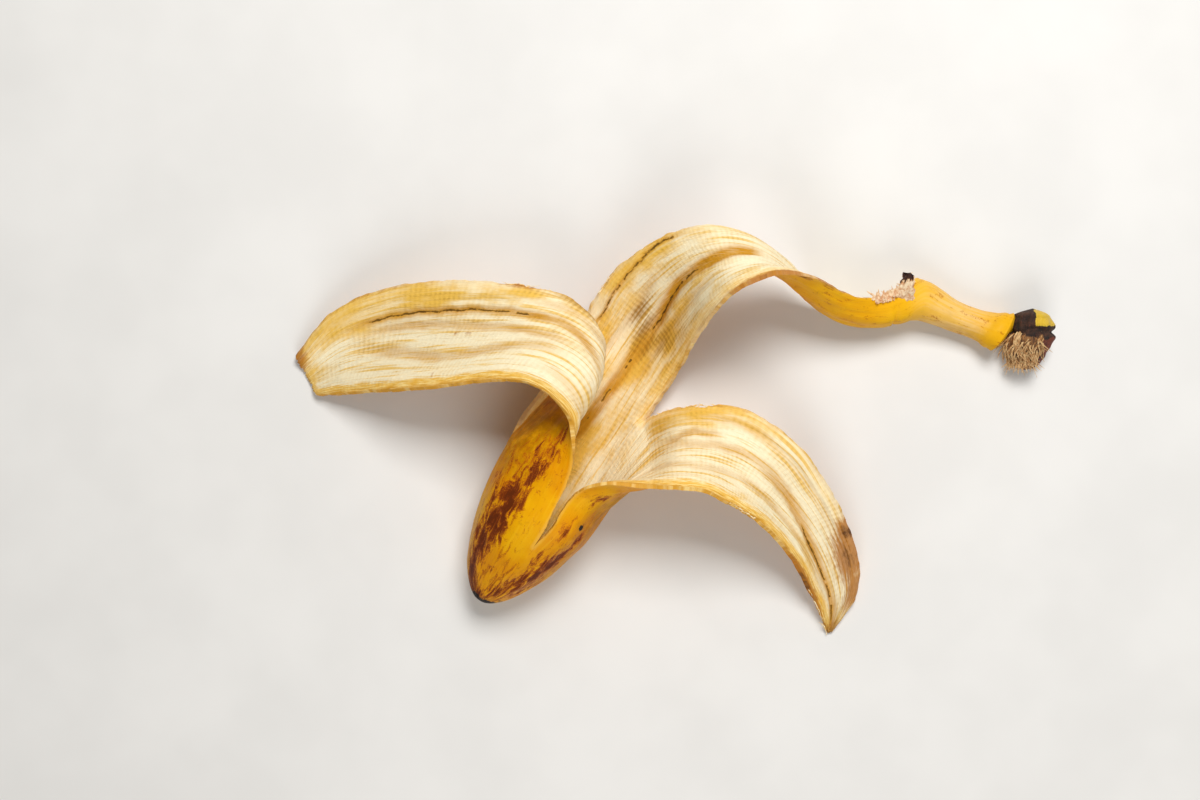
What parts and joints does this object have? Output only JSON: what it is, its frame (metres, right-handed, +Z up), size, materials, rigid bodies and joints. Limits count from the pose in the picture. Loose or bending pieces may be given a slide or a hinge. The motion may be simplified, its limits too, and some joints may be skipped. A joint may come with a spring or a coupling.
{
  "type": "banana peel",
  "caption": "Peel of an eaten banana, opened in strips from the stem end and lying on a table, with the blossom end closed as a cup and the stem still on the middle strip.",
  "frame": {"origin": "on the table, at the middle of the footprint's box", "axes": "+X along the longest extent towards the stem, +Y away from the blossom tip, +Z up"},
  "size_m": [0.2332, 0.1277, 0.0459],
  "materials": {
    "peel": "waxy golden yellow skin with brown bruises outside, pale cream fibrous flesh inside; procedural in the visual model"
  },
  "bodies": {
    "root": {"banana_peel": "peel"}
  },
  "joints": []
}
